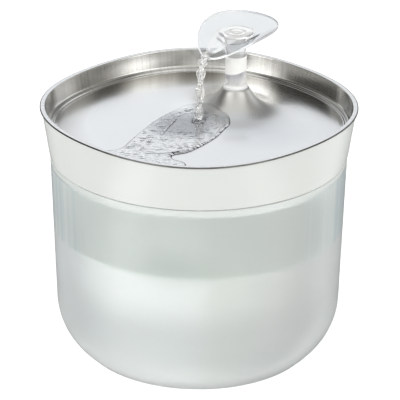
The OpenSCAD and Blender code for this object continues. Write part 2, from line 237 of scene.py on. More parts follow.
# -------------------------------------------------------- material helpers
class Mat:
    """A node material with a Principled shader."""

    def __init__(self, name, **sockets):
        self.m = bpy.data.materials.new(name)
        self.m.use_nodes = True
        self.t = self.m.node_tree
        self.bsdf = next(n for n in self.t.nodes if n.type == "BSDF_PRINCIPLED")
        self.out = next(n for n in self.t.nodes if n.type == "OUTPUT_MATERIAL")
        self.tc = self.add("ShaderNodeTexCoord")
        for k, v in sockets.items():
            self.set(k, v)

    def set(self, key, value):
        s = self.bsdf.inputs[key.replace("_", " ")]
        s.default_value = (*value, 1.0) if isinstance(value, tuple) and len(value) == 3 else value

    def add(self, kind, **props):
        n = self.t.nodes.new(kind)
        for k, v in props.items():
            setattr(n, k, v)
        return n

    def link(self, a, b):
        self.t.links.new(a, b)

    def feed(self, node, key, value):
        s = node.inputs[key]
        if isinstance(value, bpy.types.NodeSocket):
            self.link(value, s)
        else:
            s.default_value = value

    def math(self, op, a, b=0.0, c=0.0, clamp=False):
        n = self.add("ShaderNodeMath", operation=op, use_clamp=clamp)
        for i, v in enumerate((a, b, c)):
            self.feed(n, i, v)
        return n.outputs[0]

    def coords(self, sx=1.0, sy=1.0, sz=1.0):
        n = self.add("ShaderNodeMapping")
        self.link(self.tc.outputs["Object"], n.inputs["Vector"])
        n.inputs["Scale"].default_value = (sx, sy, sz)
        return n.outputs[0]

    def polar(self, kr, ka, kz, cy=0.0):
        """Vector (radius, angle, height), each times a factor, for patterns that go round the part."""
        s = self.add("ShaderNodeSeparateXYZ")
        self.link(self.tc.outputs["Object"], s.inputs[0])
        x, y, z = s.outputs
        if cy:
            y = self.math("SUBTRACT", y, cy)
        r = self.math("SQRT", self.math("ADD", self.math("MULTIPLY", x, x), self.math("MULTIPLY", y, y)))
        c = self.add("ShaderNodeCombineXYZ")
        self.link(self.math("MULTIPLY", r, kr), c.inputs[0])
        # the sine and cosine of the angle close the pattern at the back without a seam
        self.link(self.math("MULTIPLY", self.math("DIVIDE", x, self.math("MAXIMUM", r, 1e-5)), ka), c.inputs[1])
        z2 = self.math("ADD", self.math("MULTIPLY", z, kz),
                       self.math("MULTIPLY", self.math("DIVIDE", y, self.math("MAXIMUM", r, 1e-5)), ka))
        self.link(z2, c.inputs[2])
        return c.outputs[0]

    def noise(self, vector, scale=1.0, detail=3.0, rough=0.5, dist=0.0):
        n = self.add("ShaderNodeTexNoise")
        self.link(vector, n.inputs["Vector"])
        n.inputs["Scale"].default_value = scale
        n.inputs["Detail"].default_value = detail
        n.inputs["Roughness"].default_value = rough
        n.inputs["Distortion"].default_value = dist
        return n.outputs[0]

    def voronoi(self, vector, scale, feature="F1"):
        n = self.add("ShaderNodeTexVoronoi", feature=feature)
        self.link(vector, n.inputs["Vector"])
        n.inputs["Scale"].default_value = scale
        return n.outputs[0] if feature != "F1" else n

    def ramp(self, fac, stops):
        n = self.add("ShaderNodeValToRGB")
        self.link(fac, n.inputs[0])
        e = n.color_ramp.elements
        while len(e) < len(stops):
            e.new(0.5)
        for el, (p, c) in zip(e, stops):
            el.position = p
            el.color = (*c, 1.0) if len(c) == 3 else c
        return n.outputs[0]

    def range(self, value, lo, hi, to_lo, to_hi):
        n = self.add("ShaderNodeMapRange")
        self.link(value, n.inputs["Value"])
        for k, v in (("From Min", lo), ("From Max", hi), ("To Min", to_lo), ("To Max", to_hi)):
            n.inputs[k].default_value = v
        return n.outputs["Result"]

    def bump(self, height, strength, distance=0.001, after=None):
        n = self.add("ShaderNodeBump")
        self.link(height, n.inputs["Height"])
        n.inputs["Strength"].default_value = strength
        n.inputs["Distance"].default_value = distance
        if after is not None:
            self.link(after, n.inputs["Normal"])
        self.link(n.outputs[0], self.bsdf.inputs["Normal"])
        return n.outputs[0]

    def color(self, socket):
        self.link(socket, self.bsdf.inputs["Base Color"])

    def rough(self, socket):
        self.link(socket, self.bsdf.inputs["Roughness"])


def tint(c, k):
    return tuple(min(1.0, max(0.0, v * k)) for v in c)


def plastic(name, color, rough=0.3, vary=0.03, grain=0.12, grain_scale=900.0, coat=0.0):
    """Moulded plastic: slight mottling, fine spark-eroded grain, roughness that wanders."""
    m = Mat(name, Roughness=rough, IOR=1.5)
    m.set("Coat Weight", coat)
    v = m.coords()
    cloud = m.noise(v, 28.0, 4.0, 0.55)
    m.color(m.ramp(cloud, [(0.25, tint(color, 1 - vary)), (0.75, tint(color, 1 + vary))]))
    m.rough(m.range(m.noise(v, 60.0, 3.0), 0.3, 0.7, rough * 0.85, rough * 1.18))
    m.bump(m.noise(v, grain_scale, 2.0), grain, 0.0002)
    return m.m


def rubber(name, color, rough=0.55):
    m = Mat(name, Roughness=rough, IOR=1.45)
    v = m.coords()
    m.color(m.ramp(m.noise(v, 70.0, 5.0, 0.6), [(0.3, tint(color, 0.88)), (0.7, tint(color, 1.1))]))
    m.rough(m.range(m.noise(v, 160.0, 3.0), 0.3, 0.7, rough * 0.85, min(1.0, rough * 1.15)))
    m.bump(m.noise(v, 1500.0, 2.0), 0.25, 0.0002)
    return m.m


# ------------------------------------------------------- camera, as the photo
A, PHI, ROLL = math.radians(45.0), math.radians(24.377), math.radians(0.396)
DIST, AIM_Z = 1.7375, 0.1073
depth = Vector((-math.sin(A), math.cos(A), 0))
rt = Vector((math.cos(A), math.sin(A), 0))
fw = depth * math.cos(PHI) - Vector((0, 0, math.sin(PHI)))
up = depth * math.sin(PHI) + Vector((0, 0, math.cos(PHI)))
cr, sr = math.cos(ROLL), math.sin(ROLL)
cx_axis, cy_axis = rt * cr + up * sr, -rt * sr + up * cr
cam_data = bpy.data.cameras.new("camera")
cam_data.lens, cam_data.sensor_width = 222.5, 36.0
cam_data.shift_x = 0.0039
cam_data.clip_start, cam_data.clip_end = 0.05, 40
cam = new_object("camera", cam_data)
rot = Matrix((cx_axis, cy_axis, -fw)).transposed()
cam.matrix_world = Matrix.Translation(Vector((0, 0, AIM_Z)) - fw * DIST) @ rot.to_4x4()
scene.camera = cam
scene.view_settings.view_transform = "Standard"
scene.view_settings.look = "None"

# ------------------------------------------------------- floor, world, light
floor_mesh = bpy.data.meshes.new("floor")
floor_mesh.from_pydata([(-9, -9, 0), (9, -9, 0), (9, 9, 0), (-9, 9, 0)], [], [(0, 1, 2, 3)])
floor = new_object("floor", floor_mesh)
fm = Mat("floor_paper", Base_Color=(0.55, 0.55, 0.55), Roughness=0.9)
fm.set("Specular IOR Level", 0.0)
fm.set("Emission Color", (1.0, 1.0, 1.0))
fm.set("Emission Strength", 0.94)
fm.color(fm.ramp(fm.noise(fm.coords(), 3.0, 2.0), [(0.3, (0.29, 0.29, 0.29)), (0.7, (0.31, 0.31, 0.31))]))
floor.data.materials.append(fm.m)
floor.visible_glossy = False   # the steel mirrors the studio, not the paper

world = bpy.data.worlds.new("studio")
world.use_nodes = True
scene.world = world


class World(Mat):
    def __init__(self):
        self.t = world.node_tree
        self.bg = next(n for n in self.t.nodes if n.type == "BACKGROUND")


w = World()
wtc = w.add("ShaderNodeTexCoord")
sep = w.add("ShaderNodeSeparateXYZ")
w.link(wtc.outputs["Generated"], sep.inputs[0])
wx, wy, wz = sep.outputs
# bearing from the studio's front: cosine and sine of the angle to it
front = w.math("ADD", w.math("MULTIPLY", wx, math.sin(A)), w.math("MULTIPLY", wy, -math.cos(A)))
side = w.math("ADD", w.math("MULTIPLY", wx, math.cos(A)), w.math("MULTIPLY", wy, math.sin(A)))
bearing = w.math("ARCTAN2", side, front)
elev = w.math("ARCSINE", wz)


def step(v, a, b):
    """0 below a degrees, 1 above b degrees, smooth between."""
    n = w.add("ShaderNodeMapRange", interpolation_type="SMOOTHSTEP")
    w.link(v, n.inputs["Value"])
    n.inputs["From Min"].default_value, n.inputs["From Max"].default_value = math.radians(a), math.radians(b)
    return n.outputs["Result"]


def mul(*v):
    out = v[0]
    for x in v[1:]:
        out = w.math("MULTIPLY", out, x)
    return out


def inv(v):
    return w.math("SUBTRACT", 1.0, v)


def flag(a0, a1, b0, b1, e0, e1, weight):
    """A dark flag between two bearings, up to an elevation."""
    return w.math("MULTIPLY", mul(step(bearing, a0, a1), inv(step(bearing, b0, b1)), inv(step(elev, e0, e1))), weight)


# dark flags at both sides, by the camera and low and high behind
away = w.math("ABSOLUTE", bearing)
flags = [mul(flag(72, 85, 95, 111, 50, 64, 0.83), w.math("ADD", 0.45, mul(step(elev, 4, 14), 0.55))),
         flag(124, 142, 156, 172, 46, 66, 0.72), mul(flag(80, 100, 146, 168, 58, 74, 0.62), step(elev, 28, 40)),
         flag(-134, -118, -82, -72, 52, 66, 0.93), flag(-174, -154, -130, -116, 52, 70, 0.58),
         mul(flag(-30, -14, 14, 30, 54, 66, 0.42), step(elev, 24, 34)), w.math("MULTIPLY", step(elev, 56, 68), 0.15),
         mul(step(away, 140, 160), inv(step(elev, 4, 13)), 0.85), mul(step(away, 150, 166), step(elev, 30, 42), inv(step(elev, 56, 72)), 0.26)]
dark = flags[0]
for x in flags[1:]:
    dark = w.math("MAXIMUM", dark, x)
# two bright boxes beside the camera, and a broad one behind that is brighter at the left
boxes = w.math("ADD", mul(step(away, 38, 50), inv(step(away, 64, 76)), inv(step(elev, 33, 46)), 1.15),
               mul(step(away, 150, 168), inv(step(elev, 30, 44)), w.math("SUBTRACT", 0.10, mul(side, 0.8))))
boxes = w.math("ADD", boxes, mul(step(away, 20, 32), inv(step(away, 38, 50)), inv(step(elev, 44, 58)), 0.30))
# the left box is a little stronger
boxes = w.math("ADD", boxes, mul(step(bearing, -76, -64), inv(step(bearing, -50, -38)), inv(step(elev, 33, 46)), 0.40))
level = w.math("MULTIPLY", w.math("ADD", 0.96, boxes), inv(dark))
wcol = w.add("ShaderNodeValToRGB")
w.link(w.math("MULTIPLY", level, 0.4), wcol.inputs[0])
for el, (pos, col) in zip(wcol.color_ramp.elements, [(0.0, (0.0, 0.0, 0.0)), (1.0, (2.48, 2.50, 2.51))]):
    el.position, el.color = pos, (*col, 1)
mid_el = wcol.color_ramp.elements.new(0.16)
mid_el.color = (0.406, 0.401, 0.374, 1)
cool = w.add("ShaderNodeMix", data_type="RGBA")
w.link(step(away, 90, 150), cool.inputs[0])
cool.inputs[6].default_value, cool.inputs[7].default_value = (1.01, 1.0, 0.97, 1), (0.995, 1.025, 1.085, 1)
tinted = w.add("ShaderNodeMix", data_type="RGBA", blend_type="MULTIPLY")
tinted.inputs[0].default_value = 1.0
w.link(wcol.outputs[0], tinted.inputs[6])
w.link(cool.outputs[2], tinted.inputs[7])
w.link(tinted.outputs[2], w.bg.inputs["Color"])
w.bg.inputs["Strength"].default_value = 1.05


def area(name, loc, aim, size, power, color=(1, 1, 1)):
    d = bpy.data.lights.new(name, "AREA")
    d.shape, d.size, d.size_y, d.energy, d.color = "RECTANGLE", size[0], size[1], power, color
    o = new_object(name, d)
    o.location = loc
    o.rotation_euler = (Vector(aim) - Vector(loc)).to_track_quat("-Z", "Y").to_euler()
    return o


key_light = area("key_soft", (-0.25, -1.5, 0.75), (0, 0, 0.07), (1.1, 1.0), 12.6)
fill_light = area("fill_soft", (1.5, 0.25, 0.75), (0, 0, 0.07), (1.1, 1.0), 10.0)
for l_ in (key_light, fill_light):
    l_.visible_glossy = False

# =============================================================== steel tray
tray_prof = fillet([
    (109.55, 178.9, 1, 0.0), (110.0, 179.05, 1, 0.25), (110.0, 180.0, 1, 0.6), (109.3, 180.0, 1, 0.0), (106.45, 180.0, 1, 0.5),
    (104.35, 166.95, 1, 1.5), (101.35, 166.72, 1, 0.8), (100.6, 165.6, 1, 0.9), (98.0, 165.6, 1, 0.0)])
bell_rings = [BELL_R, 50, 48, 46, 44, 42, 40, 38, 36, 34, 32, 30, 28, 26, 24, 22, 20, 18.5, 17, 15.5, 14, 13, 12, 11.2, 10.5]


def hold(prof, gap=0.22):
    """Adds points near the ends of long straight runs, so their shading stays true."""
    out = [prof[0]]
    for a, b in zip(prof[:-1], prof[1:]):
        a_, b_ = np.array(a), np.array(b)
        d = math.hypot(*(b_ - a_)[:2])
        if d > 2.5:
            out += [tuple(a_ + (b_ - a_) * gap / d), tuple(b_ - (b_ - a_) * gap / d)]
        out.append(b)
    return out


tray_prof = hold(tray_prof)
inner0, first = ring(98.0, FLOOR_Z, 1), ring(BELL_R, FLOOR_Z, 0, SPOUT_Y)
rings = [ring(r, z, q) for r, z, q in tray_prof]
for t in (0.04, 0.25, 0.5, 0.75):
    rings.append(inner0 * (1 - t) + first * t)
top_curve = fillet([(10.5, float(bell(10.5)), 0, 0), (9.05, BELL_TOP - 0.07, 0, 2.2), (7.3, BELL_TOP, 0, 0.3), (7.3, BELL_TOP - 0.8, 0, 0.2),
                    (9.2, BELL_TOP - 0.85, 0, 1.2), (11.2, float(bell(11.2)) - 0.95, 0, 0)], steps=6)
rings += [ring(r, float(bell(r)), 0, SPOUT_Y) for r in bell_rings[:-1]]
rings += [ring(r, z, 0, SPOUT_Y) for r, z, _ in top_curve]
rings += [ring(r, float(bell(r)) - 0.85, 0, SPOUT_Y) for r in (14, 18, 22, 26, 30, 36, 42, 48, 52)]
under = fillet([(98.2, 164.8, 1, 0), (100.9, 164.8, 1, 0.6), (101.7, 165.95, 1, 0.8), (104.9, 166.15, 1, 1.5),
                (106.85, 178.9, 1, 0.3), (108.0, 178.9, 1, 0)])
back = ring(98.2, 164.8, 1)
last = rings[-1]
for t in (0.25, 0.5, 0.75):
    rings.append(last * (1 - t) + back * t)
rings += [ring(r, z, q) for r, z, q in under]
v, f = skin(rings)
tray = make("tray_steel", v, f, 40)
tray = cut(tray, [prism("slot", stadium((i - 3) * 8, -88, 3.6, 11), FLOOR_Z - 3, FLOOR_Z + 3) for i in range(7)], 40)



def steel_mat(name, lo, hi, aniso, foot=False):
    m = Mat(name, Metallic=1.0, Roughness=lo, Anisotropic=aniso)
    streaks = m.noise(m.polar(900.0, 9.0, 500.0) if foot else m.polar(0.0, 70.0, 8.0), 1.0, 4.0, 0.6)
    cloud = m.noise(m.coords(), 14.0, 4.0, 0.55)
    base = m.ramp(cloud, [(0.25, (0.685, 0.68, 0.67)), (0.75, (0.715, 0.712, 0.705))])
    if foot:   # the corner with the wall catches less light
        sp = m.add("ShaderNodeVectorMath", operation="LENGTH")
        flat = m.add("ShaderNodeVectorMath", operation="MULTIPLY")
        m.link(m.tc.outputs["Object"], flat.inputs[0])
        flat.inputs[1].default_value = (1, 1, 0)
        m.link(flat.outputs[0], sp.inputs[0])
        mixer = m.add("ShaderNodeMix", data_type="RGBA", blend_type="MULTIPLY")
        xyz = m.add("ShaderNodeSeparateXYZ")
        m.link(m.tc.outputs["Object"], xyz.inputs[0])
        far = m.math("ADD", m.math("MULTIPLY", xyz.outputs[1], 0.46), m.math("MULTIPLY", xyz.outputs[0], -0.95))
        m.link(m.math("MULTIPLY", m.range(sp.outputs["Value"], 0.078, 0.097, 0.0, 1.0), m.range(far, -0.03, 0.03, 0.0, 1.0)), mixer.inputs[0])
        m.link(base, mixer.inputs[6])
        mixer.inputs[7].default_value = (0.60, 0.59, 0.57, 1)
        base = mixer.outputs[2]
        # painted reflection: a darker band on the floor under the far wall, where the dark wall is mirrored
        deeper = m.add("ShaderNodeMix", data_type="RGBA", blend_type="MULTIPLY")
        under_wall = m.math("ADD", m.math("MULTIPLY", xyz.outputs[1], 0.5), m.math("MULTIPLY", xyz.outputs[0], -0.87))
        m.link(m.range(under_wall, 0.068, 0.092, 0.0, 1.0), deeper.inputs[0])
        m.link(base, deeper.inputs[6])
        deeper.inputs[7].default_value = (0.70, 0.69, 0.66, 1)
        base = deeper.outputs[2]
        # painted reflection: a soft darker patch on the floor beside the bell, where the clear spout is mirrored
        beside = m.add("ShaderNodeMix", data_type="RGBA", blend_type="MULTIPLY")
        bu = m.math("DIVIDE", m.math("SUBTRACT", m.math("MULTIPLY", m.math("ADD", xyz.outputs[0], xyz.outputs[1]), 0.7071), 0.044), 0.026)
        bd = m.math("DIVIDE", m.math("ADD", m.math("MULTIPLY", m.math("SUBTRACT", xyz.outputs[1], xyz.outputs[0]), 0.7071), 0.014), 0.026)
        by = m.math("SQRT", m.math("ADD", m.math("MULTIPLY", bu, bu), m.math("MULTIPLY", bd, bd)))
        m.link(m.range(by, 0.1, 1.35, 1.0, 0.0), beside.inputs[0])
        m.link(base, beside.inputs[6])
        beside.inputs[7].default_value = (0.84, 0.845, 0.86, 1)
        base = beside.outputs[2]
    else:      # the wall is brushed upwards
        mixer = m.add("ShaderNodeMix", data_type="RGBA", blend_type="MULTIPLY")
        mixer.inputs[0].default_value = 1.0
        m.link(base, mixer.inputs[6])
        m.link(m.ramp(streaks, [(0.32, (0.84, 0.835, 0.82)), (0.62, (1.0, 1.0, 1.0))]), mixer.inputs[7])
        base = mixer.outputs[2]
    m.color(base)
    shine = m.range(streaks, 0.25, 0.75, lo, hi)
    if foot:
        ry = m.math("SUBTRACT", xyz.outputs[1], SPOUT_Y * M)
        rb = m.math("SQRT", m.math("ADD", m.math("MULTIPLY", xyz.outputs[0], xyz.outputs[0]), m.math("MULTIPLY", ry, ry)))
        shine = m.math("ADD", shine, m.range(rb, 0.013, 0.034, 0.17, 0.0))
    m.rough(shine)
    m.bump(streaks, 0.004 if foot else 0.012, 0.0002)
    tangent = m.add("ShaderNodeTangent", direction_type="RADIAL", axis="Z")
    m.link(tangent.outputs[0], m.bsdf.inputs["Tangent"])
    return m


steel = steel_mat("steel_brushed", 0.185, 0.215, 0.0, True)
steel_wall = steel_mat("steel_brushed_wall", 0.11, 0.16, 0.0)
# painted shade and reflection: the outer side of the rolled lip is coloured dark, for the dark line along the rim
lip_shade_mat = Mat("steel_lip_edge_painted_shade", Metallic=1.0, Roughness=0.34)
lip_shade_mat.color(lip_shade_mat.ramp(lip_shade_mat.noise(lip_shade_mat.polar(400, 14, 900), 1.0, 4.0), [(0.3, (0.10, 0.10, 0.097)), (0.7, (0.20, 0.20, 0.195))]))
lip_shade_mat.bump(lip_shade_mat.noise(lip_shade_mat.polar(900, 20, 1500), 1.0, 3.0), 0.15, 0.0002)
tray.data.materials.clear()
tray.data.materials.append(steel.m)
tray.data.materials.append(lip_shade_mat.m)
tray.data.materials.append(steel_wall.m)
for p in tray.data.polygons:
    c = p.center / M
    rr = math.hypot(c.x, c.y) / squ(math.atan2(c.y, c.x), 1)
    p.material_index = 1 if rr > 109.3 and c.z > 178.6 else 2 if rr > 97.5 and c.z > 165.3 else 0
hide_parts("tray")
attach(tray, "tray")

# ============================================================ white collar
bo = bowl_out(146)
zs = np.linspace(147.2, 178.1, 26)
key = np.array([(146.6, bo + 0.35, 0), (152, 104.7, .14), (159, 105.7, .38), (166, 106.8, .62), (173, 107.9, .84), (178.3, 108.8, 1)])
fine_r, fine_w = np.interp(zs, key[:, 0], key[:, 1]), np.interp(zs, key[:, 0], key[:, 2])
for arr in (fine_r, fine_w):   # eases the corners between the key rings
    arr[1:-1] = 0.25 * arr[:-2] + 0.5 * arr[1:-1] + 0.25 * arr[2:]
outer = [(float(r), float(z), float(q)) for r, z, q in zip(fine_r, zs, fine_w)]
c_bot = fillet([(bo - 2.3, 146.0, 0, 0), (bo - 1.3, 146.0, 0, 0.1), (bo - 1.3, 146.6, 0, 0.1), (bo + 0.33, 146.6, 0, 0.25), (outer[0][0], 147.2, 0.01, 0)], steps=4)
c_top = fillet([(outer[-1][0], 178.1, 1, 0), (108.82, 178.9, 1, 0.75), (107.4, 178.9, 1, 0.15), (107.35, 178.3, 1, 0)], steps=6)
inner = [(106.4, 173, .84), (105.3, 166, .62), (104.3, 159.5, .4), (93, 159.5, 0), (93, 157.5, 0), (bo - 2.3, 157.5, 0)]
collar = lathe("collar_white", c_bot + outer[1:-1] + c_top + inner, sharp=30)
hole = lathe("hole", [(3.6, 0, 0), (3.6, 20, 0)], n=48, loop=False, caps=((0, 0, 0), (0, 0, 20)))
hole.data.transform(Matrix.Translation((0, 90 * M, 151 * M)) @ Matrix.Rotation(math.radians(-90), 4, "X"))
collar = cut(collar, [hole], 30)
cm = Mat("collar_gloss_white", Roughness=0.22, IOR=1.5)
cv = cm.coords()
csep = cm.add("ShaderNodeSeparateXYZ")
cm.link(cm.tc.outputs["Object"], csep.inputs[0])
at_side = cm.range(cm.math("ABSOLUTE", cm.math("MULTIPLY", cm.math("ADD", csep.outputs[0], csep.outputs[1]), 0.7071)), 0.05, 0.098, 0.0, 1.0)
lift = cm.add("ShaderNodeMix", data_type="RGBA", blend_type="MULTIPLY")   # painted light: a little lighter towards both sides
cm.link(at_side, lift.inputs[0])
cm.link(cm.ramp(cm.noise(cv, 9.0, 3.0), [(0.3, (0.470, 0.483, 0.473)), (0.7, (0.482, 0.495, 0.485))]), lift.inputs[6])
lift.inputs[7].default_value = (1.10, 1.10, 1.10, 1)
cm.color(lift.outputs[2])
cm.rough(cm.range(cm.noise(cv, 45.0, 3.0), 0.3, 0.7, 0.19, 0.26))
cm.bump(cm.noise(cv, 420.0, 2.0), 0.03, 0.0002)
collar.data.materials.append(cm.m)
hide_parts("collar")
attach(collar, "collar")

# ============================================================= clear bowl
arc = [(bowl_out(z), z, 0) for z in 38 - 46 * np.cos(np.radians(np.linspace(37.5, 90, 28)))]
arc = [p for p in arc if p[1] >= 1.6]
b_out = fillet([(60.0, 1.0, 0, 0), (arc[0][0] - 1.1, 1.0, 0, 0.8), (arc[0][0], arc[0][1], 0, 0)], steps=4)[:-1]
walls = [(bowl_out(z), z, 0) for z in np.linspace(44, 141, 14)]
b_top = fillet([(bowl_out(142), 142, 0, 0), (bowl_out(146), 146, 0, 0.45), (bowl_out(146) - 2.9, 146, 0, 0.2), (bowl_out(146) - 2.9, 157, 0, 0.5),
                (bowl_in(146) - 2.9, 157, 0, 0.5), (bowl_in(146) - 2.9, 143.5, 0, 1.2), (bowl_in(139.5), 139.5, 0, 1.5), (bowl_in(130), 130, 0, 0)], steps=4)
i_walls = [(bowl_in(z), z, 0) for z in np.linspace(124, 44, 11)]
i_arc = [(54.3 + 43.4 * math.sin(a), 38 - 43.4 * math.cos(a), 0) for a in np.radians(np.linspace(90, 40, 26))]
i_arc = [p for p in i_arc if p[1] >= 5.0]
b_in = fillet([i_arc[-1] + (0,), (i_arc[-1][0] - 1.2, 4.2, 0, 0.8), (60.0, 4.2, 0, 0)], steps=4)[1:]
prof = [(20, 1, 0), (40, 1, 0)] + b_out + arc + walls + b_top + i_walls + i_arc + b_in + [(40, 4.2, 0), (20, 4.2, 0)]
bowl = lathe("bowl_clear", prof, loop=False, caps=((0, 0, 1.0), (0, 0, 4.2)), sharp=50)
tools = []
for k in range(4):
    a = math.radians(45 + 90 * k)
    t = lathe("recess", [(7.1, 0, 0), (7.1, 1.6, 0)], n=64, loop=False, caps=((0, 0, 0), (0, 0, 1.6)))
    t.data.transform(Matrix.Translation((66 * M * math.cos(a), 66 * M * math.sin(a), 0)))
    tools.append(t)
tools.append(prism("notch", [(-4.5, 90), (4.5, 90), (4.5, 110), (-4.5, 110)], 147, 160))
bowl = cut(bowl, tools, 50)
bm_ = Mat("bowl_frosted_clear", Base_Color=(0.95, 0.975, 0.965), Roughness=0.36, IOR=1.45)
bm_.set("Transmission Weight", 0.80)
vert = bm_.noise(bm_.polar(0.0, 15.0, 1.2), 1.0, 4.0, 0.55)
bsep = bm_.add("ShaderNodeSeparateXYZ")
bm_.link(bm_.tc.outputs["Object"], bsep.inputs[0])
above = bm_.range(bsep.outputs[2], (WATER_Z - 1) * M, (WATER_Z + 1) * M, 0.0, 1.0)
# bluish vertical streaks above the water, mostly at two sides, where painted shade makes them darker and stronger
across = bm_.math("ABSOLUTE", bm_.math("MULTIPLY", bm_.math("ADD", bsep.outputs[0], bsep.outputs[1]), 0.7071))
lines_ = bm_.math("ADD", bm_.math("SUBTRACT", 0.54, bm_.math("MULTIPLY", above, bm_.range(across, 0.066, 0.094, 0.0, 0.16))),
                  bm_.math("MULTIPLY", bm_.math("SUBTRACT", vert, 0.5), bm_.math("MULTIPLY", bm_.range(above, 0.0, 1.0, 0.15, 1.0), bm_.range(across, 0.055, 0.092, 0.22, 1.05))))
streaked = bm_.ramp(lines_, [(0.30, (0.78, 0.835, 0.87)), (0.50, (0.985, 1.0, 0.996)), (0.75, (0.992, 1.0, 0.998))])
# painted shade: the wall above the water is a little darker and greener
above_shade = bm_.add("ShaderNodeMix", data_type="RGBA", blend_type="MULTIPLY")
bm_.link(above, above_shade.inputs[0])
bm_.link(streaked, above_shade.inputs[6])
above_shade.inputs[7].default_value = (0.955, 0.98, 0.965, 1)
# painted shade: a soft darker patch above the water, a little off the middle
shade_d = bm_.math("SQRT", bm_.math("ADD",
    bm_.math("POWER", bm_.math("MULTIPLY", bm_.math("ADD", bm_.math("MULTIPLY", bm_.math("ADD", bsep.outputs[0], bsep.outputs[1]), 0.7071), 0.016), 40.0), 2.0),
    bm_.math("POWER", bm_.math("MULTIPLY", bm_.math("SUBTRACT", bsep.outputs[2], 0.103), 85.0), 2.0)))
soft = bm_.add("ShaderNodeMix", data_type="RGBA", blend_type="MULTIPLY")
bm_.link(bm_.range(shade_d, 0.15, 1.5, 1.0, 0.0), soft.inputs[0])
bm_.link(above_shade.outputs[2], soft.inputs[6])
soft.inputs[7].default_value = (0.87, 0.88, 0.87, 1)
# painted shade: greyer below the water at both sides and low on one side
under_w = bm_.math("SUBTRACT", 1.0, above)
sides = bm_.math("MULTIPLY", under_w, bm_.range(across, 0.055, 0.094, 0.0, 1.0))
to_right = bm_.range(bm_.math("ADD", bsep.outputs[0], bsep.outputs[1]), 0.0, 0.07, 0.0, 1.0)
low_right = bm_.math("MULTIPLY", to_right, bm_.range(bsep.outputs[2], 0.020, 0.042, 1.0, 0.0))
grey = bm_.add("ShaderNodeMix", data_type="RGBA", blend_type="MULTIPLY")
bm_.link(bm_.math("MAXIMUM", sides, low_right), grey.inputs[0])
bm_.link(soft.outputs[2], grey.inputs[6])
grey.inputs[7].default_value = (0.915, 0.925, 0.93, 1)
bm_.color(grey.outputs[2])
bm_.rough(bm_.range(bm_.noise(bm_.coords(), 30.0, 3.0), 0.3, 0.7, 0.285, 0.335))
bm_.bump(bm_.noise(bm_.coords(), 700.0, 2.0), 0.05, 0.0002)
bowl.data.materials.append(bm_.m)
shoulder = plastic("bowl_shoulder_frost", (0.60, 0.62, 0.61), 0.35, 0.015, 0.05, 700.0)
shoulder.node_tree.nodes["Principled BSDF"].inputs["Transmission Weight"].default_value = 0.35
bowl.data.materials.append(shoulder)
for p in bowl.data.polygons:
    c = p.center / M
    p.material_index = 1 if 142.2 < c.z < 157.5 and math.hypot(c.x, c.y) > bowl_in(142) + 1.2 else 0
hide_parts("bowl")
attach(bowl, "base")

# water in the bowl, with its edge drawn up a little at the wall
wt = [(0.0 + r, WATER_Z, 0) for r in (30, 60, 88, 94)] + [(97.4, WATER_Z + 0.12, 0), (bowl_in(94) - 0.35, WATER_Z + 0.5, 0), (bowl_in(95) - 0.06, WATER_Z + 1.3, 0)]
ws = [(bowl_in(z) - 0.06, z, 0) for z in np.linspace(92, 42, 9)]
wa = [(r - 0.06, z + 0.04, 0) for r, z, _ in i_arc]
prof = wt + ws + wa + [(80 - 6, 4.26, 0), (50, 4.26, 0), (20, 4.26, 0)]
water = lathe("water_bowl", prof, loop=False, caps=((0, 0, WATER_Z), (0, 0, 4.26)), sharp=70)


def water_mat(name, color, rough=0.0, ripple=0.0, scale=300.0, ior=1.333):
    m = Mat(name, Base_Color=color, Roughness=rough, IOR=ior)
    m.set("Transmission Weight", 1.0)
    n = m.noise(m.coords(), scale, 3.0, 0.5)
    m.color(m.ramp(m.noise(m.coords(), 20.0, 2.0), [(0.3, tint(color, 0.985)), (0.7, tint(color, 1.01))]))
    m.bump(n, ripple, 0.0004)
    return m.m


still = Mat("water_still", Roughness=0.25, IOR=1.333)
still.set("Transmission Weight", 0.22)
wsep = still.add("ShaderNodeSeparateXYZ")
still.link(still.tc.outputs["Object"], wsep.inputs[0])
cloud = still.math("SUBTRACT", still.noise(still.coords(), 12.0, 3.0), 0.5)
drift = still.math("ADD", wsep.outputs[2], still.math("MULTIPLY", cloud, 0.012))
# painted light and shade: the water is white near the bottom and high up, and grey in a band between
height_shade = still.ramp(still.range(drift, 0.0, 0.1, 0.0, 1.0), [(0.12, (1.0, 1.0, 1.0)), (0.34, (0.51, 0.555, 0.57)), (0.53, (0.50, 0.545, 0.56)), (0.76, (1.0, 1.0, 1.0))])
# painted shade: the water is lightest a little off the middle, greyer and warmer towards one side, and dark at the far
# edge of the other
flow = still.math("ADD", still.math("ADD", wsep.outputs[0], wsep.outputs[1]), still.math("MULTIPLY", cloud, 0.03))
side_shade = still.ramp(still.range(flow, -0.14, 0.14, 0.0, 1.0), [(0.0, (0.30, 0.37, 0.41)), (0.14, (0.93, 0.99, 0.985)), (0.50, (0.92, 0.98, 0.965)), (0.56, (0.66, 0.71, 0.66)), (0.64, (0.64, 0.685, 0.635)), (0.72, (0.46, 0.495, 0.47)), (0.90, (0.35, 0.375, 0.36))])
both_ = still.add("ShaderNodeMix", data_type="RGBA", blend_type="MULTIPLY")
both_.inputs[0].default_value = 1.0
still.link(height_shade, both_.inputs[6])
still.link(side_shade, both_.inputs[7])
still.color(both_.outputs[2])
still.bump(still.noise(still.coords(), 60.0, 3.0, 0.5), 0.02, 0.0004)
still = still.m
water.data.materials.append(still)
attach(water, "base")

# ================================================================== spout
A_ = np.arange(N) * TAU / N
EY = 28.8 * np.sin(A_) + 0.25
EX = 27.3 * np.cos(A_) * (1 + 0.094 * np.sin(A_))
EZ = 223 + 17 + 0.3 * EY - 0.0158 * EX ** 2 - 0.0225 * EY ** 2
SX, SY = 7.6 * np.cos(A_), 7.6 * np.sin(A_)


def scoop(t, dz):
    """Ring of the scoop's surface at share t from the outlet's seat to the edge."""
    t = np.broadcast_to(np.asarray(t, float), A_.shape)
    return np.c_[SX + (EX - SX) * t, SPOUT_Y + SY + (EY - SY) * t, 223 + (EZ - 223) * t ** 1.6 + dz]


